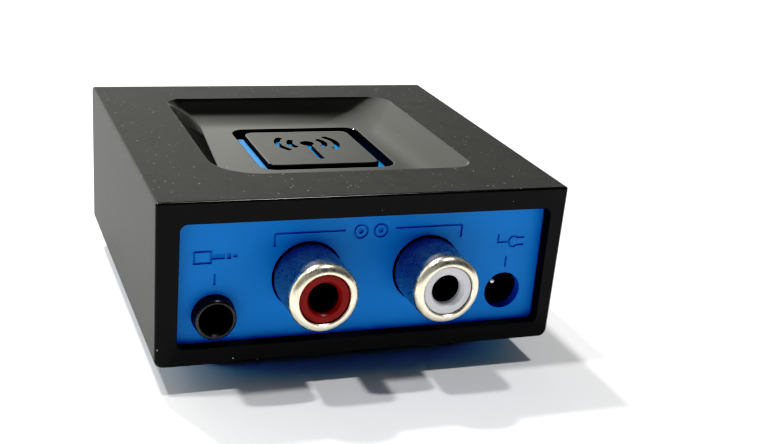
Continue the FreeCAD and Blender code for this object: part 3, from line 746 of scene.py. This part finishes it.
def make_dish():
    """Glossy insert: a shallow dish with a square well in it for the button."""
    loops = [
        level(dish_outline(DISH_FLANGE), RING_TOP - FLANGE_THICK),
        level(dish_outline(DISH_FLANGE), CEILING),
        level(dish_outline(0), CEILING),
        level(dish_outline(0), HEIGHT),
    ]
    rim, lip = dish_outline(-RIM_GAP), well_outline(LIP_R)
    for n in range(DISH_STEPS + 1):
        t = n / DISH_STEPS
        line = [(ax + (bx - ax) * t, ay + (by - ay) * t) for (ax, ay), (bx, by) in zip(rim, lip)]
        loops.append([(x, y, dish_height(x, y)) for x, y in line])
    for a in quarter_turn(EDGE_STEPS)[1:]:  # the well's lip, which follows the slope it is in
        line = well_outline(LIP_R * (1 - math.sin(a)))
        drop = LIP_R * (1 - math.cos(a))
        loops.append([(x, y, dish_height(*on_lip) - drop) for (x, y), on_lip in zip(line, lip)])
    loops += [
        level(well_outline(0), RING_TOP),
        level(well_outline(WELL_FOOT), RING_TOP),
        level(well_outline(WELL_FOOT), RING_TOP - FLANGE_THICK),
    ]

    def choose(face):
        # painted shade: the well's walls and steeper lip, and the steep side facing +X in front of
        # SHADE_TO, take the darker copy
        in_well = abs(face.normal.z) < 0.9 and face.center.z < DISH_FLOOR
        in_painted_shade = face.normal.x > 0.35 and face.center.y < SHADE_TO
        return int(in_well or in_painted_shade)

    dish = loft("dish", loops, closed=True)
    place(dish, "housing", "top_dish", [DISH_BLACK, DISH_PAINTED_SHADE], choose, 60)


def panel_marks():
    """Outlines of the engraved marks, on the XZ plane."""
    half = LINE / 2
    shapes = []
    middle_x = (MOUNTS["phono_red_barrel"][0] + MOUNTS["phono_white_barrel"][0]) / 2
    eye_z = BRACKET_Z - EYE_DROP
    for side in (-1, 1):
        end = middle_x + side * BRACKET_REACH
        eye = middle_x + side * EYE_X
        near, far = sorted((middle_x + side * BRACKET_GAP, end))
        shapes.append(rect(near, far, BRACKET_Z - LINE, BRACKET_Z))
        shapes.append(rect(end - half, end + half, BRACKET_Z - BRACKET_DROP, BRACKET_Z - half))
        shapes.append(circle(eye, eye_z, EYE_DOT_R, MARK_STEPS))
        for middle in (0, 180):  # a ring in two halves, so that each outline is a simple one
            shapes.append(band_arc(eye, eye_z, EYE_R - half, half, middle, 90.5, MARK_STEPS))
    aux_x, power_x = MOUNTS["aux_socket"][0], MOUNTS["dc_inlet_pin"][0]
    shapes += [rect(x - half, x + half, *TICK_Z) for x in (aux_x, power_x)]

    x0, x1, z0, z1 = aux_x + GRIP[0], aux_x + GRIP[1], SIGN_Z - GRIP[2], SIGN_Z + GRIP[2]
    shapes += [
        rect(x0, x1, z0, z0 + LINE),
        rect(x0, x1, z1 - LINE, z1),
        rect(x0, x0 + LINE, z0 + half, z1 - half),
        rect(x1 - LINE, x1, z0 + half, z1 - half),
    ]
    shapes += [rect(aux_x + a, aux_x + b, SIGN_Z - h, SIGN_Z + h) for a, b, h in RODS]

    x, z, r = power_x + POWER_X, SIGN_Z, POWER_R - half
    open_deg = math.degrees(math.acos(POWER_MOUTH / r))
    shapes += [
        band_arc(x + 0.5, z - 0.1, r, half, 180, 180 - open_deg, 40),
        rect(x - 1.8, x - 0.25, z - 0.25, z + 0.01),  # the lead
        rect(x - 1.8, x - 1.8 + LINE, z - 0.24, z + 0.95),
    ]
    shapes += [rect(x + 0.8, x + 1.9, z + up, z + up + LINE) for up in (0.25, -0.7)]  # prongs
    return shapes


def make_panel():
    """Blue plate behind the frame, pierced for the sockets and engraved above them."""
    edge = PANEL_HIGH[0]
    plate = round_rect(-edge, edge, PANEL_FACE, PANEL_HIGH[1], PANEL_R)
    panel = prism_z(plate, PANEL_LOW[2], PANEL_HIGH[2])
    panel.name = "panel"
    for mount, r in PANEL_HOLES.items():
        x, _, z = MOUNTS[mount]
        cut(panel, prism_y(circle(x, z, r), PANEL_FACE - PAST, PANEL_HIGH[1] + PAST))
    soften_edges(panel, 0.14, 3)
    floor = PANEL_FACE + MARK_DEPTH
    cut(panel, *[prism_y(shape, PANEL_FACE - PAST, floor) for shape in panel_marks()])

    def choose(face):
        # painted shade: the floors of the engraved marks take the darker blue
        past_face = face.center.y - PANEL_FACE
        return int(face.normal.y < -0.9 and 0.9 * MARK_DEPTH < past_face < 1.1 * MARK_DEPTH)

    place(panel, "housing", "connector_panel", [BLUE, BLUE_MARK_PAINTED_SHADE], choose)


def make_cap():
    """Black square button with the pairing mark cut through it."""
    half, foot, top = BUTTON_HALF, CAP_LOW[2], CAP_HIGH[2]
    loops = [
        level(square(half - CAP_FOOT, BUTTON_R - CAP_FOOT), foot),
        level(square(half, BUTTON_R), foot + CAP_FOOT),
    ]
    for a in quarter_turn(CAP_EDGE_STEPS):
        inset = CAP_EDGE * (1 - math.cos(a))
        drop = CAP_EDGE * (1 - math.sin(a))
        loops.append(level(square(half - inset, BUTTON_R - inset), top - drop))
    cap = loft("cap", loops)
    under = top - CAP_SKIN
    cut(cap, prism_z(square(half - CAP_SKIN, BUTTON_R - CAP_SKIN / 2), foot - PAST, under))
    marks = [
        circle(0, MAST_Y, MAST_DOT_R, SMALL_TURN_STEPS),
        rect(-MAST_HALF, MAST_HALF, MAST_FOOT, MAST_Y),
    ]
    for r in WAVE_RADII:
        marks += [band_arc(0, MAST_Y, r, MAST_HALF, side, WAVE_HALF_DEG) for side in (0, 180)]
    for mark in marks:
        cut(cap, prism_z(mark, under - PAST, top + PAST))
    soften_edges(cap, 0.05, 2)

    def choose(face):  # painted shade: the sides, and the front edge from where it starts to turn down, take the darker, duller copy
        return int(face.normal.z < (0.9 if face.normal.y < -0.1 else 0.3))

    place(cap, "button", "button_cap", [CAP_BLACK, CAP_PAINTED_SHADE], choose)


# ---- sockets --------------------------------------------------------------------------------
def socket_block(box, front, hole, edge_r):
    """The block behind a round nose, from front to the rear of box, with a hole for the nose."""
    low, high = box
    block = prism_y(rect(low[0], high[0], low[2], high[2]), front, high[1])
    cut(block, hole)
    soften_edges(block, edge_r, 2)
    return block


def make_phono(colour, insulator_material):
    """Nickel barrel with a rounded lip, and the coloured insulator in its mouth."""
    node = "phono_" + colour
    x, _, z = MOUNTS[node + "_barrel"]
    sleeve_low, sleeve_high = box_mm(node + "_sleeve")
    tip, back = sleeve_low[1], sleeve_high[1]
    profile = soften([
        (PHONO_TUBE_R, back, 0),
        (PHONO_TUBE_R, tip + 0.15, 0.05),
        (3.16, tip, 0.05),
        (PHONO_R, tip, LIP_ROUND),
        (PHONO_R, PANEL_FACE - 0.1, 0),
        (PHONO_R - PHONO_NECK, PANEL_FACE - 0.1, 0),
        (PHONO_R - PHONO_NECK, JACK_FACE, 0),
        (PHONO_R + PHONO_FLANGE, JACK_FACE, 0),
        (PHONO_R + PHONO_FLANGE, back, 0),
    ], 12)

    def choose_on_barrel(face):
        if face.center.y > PANEL_FACE - 0.12:
            return 2  # painted shade in the gap round it
        # painted shade: the shaft behind the lip takes the darker nickel
        return int(face.center.y > tip + LIP_ROUND)

    barrel = lathe("barrel_" + colour, profile, x, z)
    looks = [NICKEL, NICKEL_PAINTED_SHADE, BORE_PAINTED_SHADE]
    place(barrel, "housing", node + "_sleeve", looks, choose_on_barrel)

    front = tip + INSULATOR_SINK
    foot = JACK_FACE + 1.4
    ring = soften([
        (PHONO_BORE_R, INSULATOR_BACK, 0),
        (PHONO_BORE_R, front + BORE_LIT, 0),
        (PHONO_BORE_R, front + 0.5, 0.25),
        (PHONO_BORE_R + 0.35, front, 0.15),
        (INSULATOR_R, front, 0.14),
        (INSULATOR_R, foot, 0),
        (INSULATOR_FOOT_R, foot, 0),
        (INSULATOR_FOOT_R, INSULATOR_BACK, 0),
    ])
    insulator = lathe("insulator_" + colour, ring, x, z)
    hole = prism_y(circle(x, z, INSULATOR_FOOT_R - 0.1), JACK_FACE, INSULATOR_BACK)
    block = socket_block(box_mm(node + "_body"), JACK_FACE + 0.4, hole, 0.25)
    combine(insulator, block, "UNION")

    def choose_on_insulator(face):
        # painted shade: the bore deeper than BORE_LIT
        off_axis = math.hypot(face.center.x - x, face.center.z - z)
        return int(off_axis < PHONO_BORE_R + 0.05 and face.center.y > front + BORE_LIT)

    looks = [insulator_material, BORE_PAINTED_SHADE]
    place(insulator, "housing", node + "_body", looks, choose_on_insulator)


def make_aux():
    """Black 3.5 mm socket with a round nose."""
    x, _, z = MOUNTS["aux_socket"]
    box = box_mm("aux_jack_body")
    tip = box[0][1]
    nose = lathe("aux_socket", soften([
        (AUX_BORE_R, AUX_BACK, 0),
        (AUX_BORE_R, tip + 0.5, 0.3),
        (2.02, tip + 0.05, 0.1),
        (AUX_NOSE_R, tip, 0.32),
        (AUX_NOSE_R, JACK_FACE + 1, 0),
        (AUX_ROOT_R, JACK_FACE + 1, 0),
        (AUX_ROOT_R, AUX_BACK, 0),
    ]), x, z)
    hole = prism_y(circle(x, z, AUX_ROOT_R - 0.1), JACK_FACE - PAST, AUX_BACK)
    combine(nose, socket_block(box, JACK_FACE, hole, JACK_EDGE_R), "UNION")
    place(nose, "housing", "aux_jack_body", [SOCKET_BLACK])


def make_inlet():
    """Power inlet: a black block with a bore and a steel pin in it."""
    x, _, z = MOUNTS["dc_inlet_pin"]
    low, high = box_mm("dc_jack_body")
    block = prism_y(rect(low[0], high[0], low[2], high[2]), low[1], high[1])
    block.name = "power_inlet"
    soften_edges(block, JACK_EDGE_R, 2)
    funnel = [
        (INLET_MOUTH_R, JACK_FACE - PAST),
        (INLET_MOUTH_R, JACK_FACE),
        (INLET_BORE_R, JACK_FACE + 1.2),
        (INLET_BORE_R, INLET_BACK),
    ]
    cut(block, loft("cutter", [upright(circle(x, z, r), y) for r, y in funnel]))
    root_hole = circle(x, z, PIN_HOLE_R, SMALL_TURN_STEPS)
    cut(block, prism_y(root_hole, INLET_BACK - PAST, -11.0))
    place(block, "housing", "dc_jack_body", [SOCKET_BLACK])

    tip = box_mm("dc_jack_pin")[0][1]
    nose = [
        (PIN_R * math.sin(a), tip + PIN_R * (1 - math.cos(a))) for a in quarter_turn(PIN_STEPS)[1:]
    ]
    root = [
        (PIN_R, INLET_BACK), (PIN_ROOT_R, INLET_BACK),
        (PIN_ROOT_R, PIN_BACK), (PIN_TIP_R, PIN_BACK),
    ]
    pin = lathe("power_pin", [(PIN_TIP_R, tip)] + nose + root, x, z)
    place(pin, "housing", "dc_jack_pin", [PIN_METAL])


# ---- CAD parts that keep their meshes -------------------------------------------------------
CAD_LOOKS = {
    "light_ring": GLOW_BLUE,
    "button_carrier": GLOW_BLUE,
    "bottom_cover": COVER_BLUE,
    "base_pad": PAD_RUBBER,
    "switch_base": CHIP_BLACK,
    "switch_cover": CAN_METAL,
    "switch_plunger": SOCKET_BLACK,
    "phono_red_contact": CONTACT_METAL,
    "phono_white_contact": CONTACT_METAL,
    "aux_jack_contacts": CONTACT_METAL,
    "dc_jack_spring": CONTACT_METAL,
    "main_board": BOARD_GREEN,
    "radio_chip": CHIP_BLACK,
    "flash_chip": CHIP_BLACK,
    "audio_chip": CHIP_BLACK,
    "crystal": CAN_METAL,
    "chip_antenna": CERAMIC_WHITE,
    "power_inductor": CHIP_BLACK,
    "voltage_regulator": CHIP_BLACK,
    "electrolytic_capacitors": CAN_METAL,
    "ceramic_capacitors": CERAMIC_TAN,
    "chip_resistors": CHIP_BLACK,
    "status_leds": LED_CLEAR,
    "case_screws": SCREW_STEEL,
    "board_screws": SCREW_STEEL,
}


def dress_cad_parts():
    for node, material in CAD_LOOKS.items():
        for slot in frame["nodes"][node].material_slots:
            slot.material = material


# ---- room -----------------------------------------------------------------------------------
FLOOR_SIZE, FLOOR_CELLS = 12.0, 12
FLOOR_DROP = 0.02 * MM  # keeps the floor off the base pad's underside

LAMPS = {  # where each one is, and its strength
    "lamp_a": ((-5.5, 13.5, 24), 2.07),
    "lamp_b": ((7, -2.5, 24), 1.40),
    "lamp_c": ((-9.5, 1, 24), 1.31),
}
LAMP_WIDTH_DEG = 4.0

ROOM_BRIGHT = (2.5, 2.5, 2.28)
ROOM_DARK = (0.064, 0.064, 0.068)
ROOM_FRONT = (0.03, 0.04, 0.062)
BAND_END_DEG = (42, 50)  # elevations over which the bright band ends
BEHIND_Y = (-0.15, 0.3)  # the direction's Y, from the little light at the sides to all of it
SIDE_LIGHT = 0.10
RIGHT_LIGHT = (0.44, 0.122)  # shares of the light: behind, and to the right of RIGHT_DEG
RIGHT_DEG = (14, 24)
LEFT_EXTRA = 1.3  # extra light to the left of LEFT_DEG
LEFT_DEG = (-12, 2)
FRONT_Y = (-0.5, -0.05)  # the direction's Y, from the front's colour to the dark one

CAMERA_AZIMUTH, CAMERA_ELEVATION, CAMERA_ROLL = -0.3789, 0.3461, 0.0866  # radians
CAMERA_TARGET = (11.551, 0.0, 10.661)  # mm
CAMERA_DISTANCE = 174.85  # mm
CAMERA_LENS = 58.13
CAMERA_SENSOR = 36.0

TONE = ((0.02, 0.003), (0.04, 0.012), (0.06, 0.04), (0.1, 0.09), (0.15, 0.147))


def make_floor():
    size, cells, row = FLOOR_SIZE, FLOOR_CELLS, FLOOR_CELLS + 1
    verts = [
        (size * (i / cells - 0.5), size * (j / cells - 0.5), -FLOOR_DROP)
        for j in range(row)
        for i in range(row)
    ]
    faces = [
        (j * row + i, j * row + i + 1, (j + 1) * row + i + 1, (j + 1) * row + i)
        for j in range(cells)
        for i in range(cells)
    ]
    floor = mesh_object("floor", verts, faces)
    floor.data.materials.append(surface(
        "paper", (0.80, 0.80, 0.80), 0.8, specular=0.2, tint=0.01, tint_scale=0.05,
        rough_spread=0.05, grain=0.01, grain_scale=3.0,
    ))


def make_lamps():
    for name, (towards, strength) in LAMPS.items():
        lamp = bpy.data.lights.new(name, "SUN")
        lamp.energy = strength
        lamp.angle = math.radians(LAMP_WIDTH_DEG)
        holder = bpy.data.objects.new(name, lamp)
        holder.rotation_mode = "QUATERNION"
        holder.rotation_quaternion = Vector(towards).to_track_quat("Z", "Y")
        bpy.context.scene.collection.objects.link(holder)


def make_world():
    """Soft room light: a bright band behind the object, brightest to the left.

    It is dark overhead and to the right, and darkest in front.
    """
    world = bpy.data.worlds.new("room")
    world.use_nodes = True
    tree = world.node_tree
    background = tree.nodes["Background"]
    place_node = tree.nodes.new("ShaderNodeTexCoord")
    split = tree.nodes.new("ShaderNodeSeparateXYZ")
    link(tree, place_node.outputs["Generated"], split.inputs[0])
    band_end = [math.sin(math.radians(deg)) for deg in BAND_END_DEG]
    height = remap(tree, split.outputs["Z"], 1.0, 0.0, *band_end)
    behind = remap(tree, split.outputs["Y"], SIDE_LIGHT, 1.0, *BEHIND_Y)
    turn = arithmetic(tree, "ARCTAN2", split.outputs["X"], split.outputs["Y"])
    fade = remap(tree, turn, *RIGHT_LIGHT, *[math.radians(deg) for deg in RIGHT_DEG])
    left = remap(tree, turn, LEFT_EXTRA, 0.0, *[math.radians(deg) for deg in LEFT_DEG])
    lit = arithmetic(tree, "MULTIPLY", arithmetic(tree, "MULTIPLY", height, behind), fade)
    lit = arithmetic(tree, "MULTIPLY", lit, arithmetic(tree, "ADD", left, 1.0))
    ahead = remap(tree, split.outputs["Y"], 1.0, 0.0, *FRONT_Y)
    dark = blend_colours(tree, ahead, ROOM_DARK, ROOM_FRONT)
    link(tree, blend_colours(tree, lit, dark, ROOM_BRIGHT), background.inputs["Color"])
    background.inputs["Strength"].default_value = 1.0
    bpy.context.scene.world = world


def make_camera():
    flat, rise = math.cos(CAMERA_ELEVATION), math.sin(CAMERA_ELEVATION)
    back = Vector((math.sin(CAMERA_AZIMUTH) * flat, -math.cos(CAMERA_AZIMUTH) * flat, rise))
    right = (-back).cross(Vector((0, 0, 1))).normalized()
    up = right.cross(-back)
    across = right * math.cos(CAMERA_ROLL) + up * math.sin(CAMERA_ROLL)
    upward = -right * math.sin(CAMERA_ROLL) + up * math.cos(CAMERA_ROLL)
    data = bpy.data.cameras.new("camera")
    data.lens = CAMERA_LENS
    data.sensor_width = CAMERA_SENSOR
    data.dof.use_dof = False
    data.clip_start = 0.01
    camera = bpy.data.objects.new("camera", data)
    turn = Matrix((across, upward, back)).transposed().to_4x4()
    place_at = Vector(CAMERA_TARGET) * MM + back * (CAMERA_DISTANCE * MM)
    camera.matrix_world = Matrix.Translation(place_at) @ turn
    bpy.context.scene.collection.objects.link(camera)
    bpy.context.scene.camera = camera


def set_tone():
    """Deepens the darkest tones a little."""
    view = bpy.context.scene.view_settings
    view.view_transform = "Standard"
    view.look = "None"
    view.use_curve_mapping = True
    mapping = view.curve_mapping
    mapping.use_clip = False
    mapping.extend = "EXTRAPOLATED"
    curve = mapping.curves[3]
    curve.points[0].location = (0.0, 0.0)
    curve.points[-1].location = (1.0, 1.0)
    for point in TONE:
        curve.points.new(*point)
    mapping.update()


make_camera()
make_floor()
make_world()
make_lamps()
set_tone()

make_shell()
make_dish()
make_panel()
make_cap()
make_phono("red", RED_PLASTIC)
make_phono("white", WHITE_PLASTIC)
make_aux()
make_inlet()
dress_cad_parts()
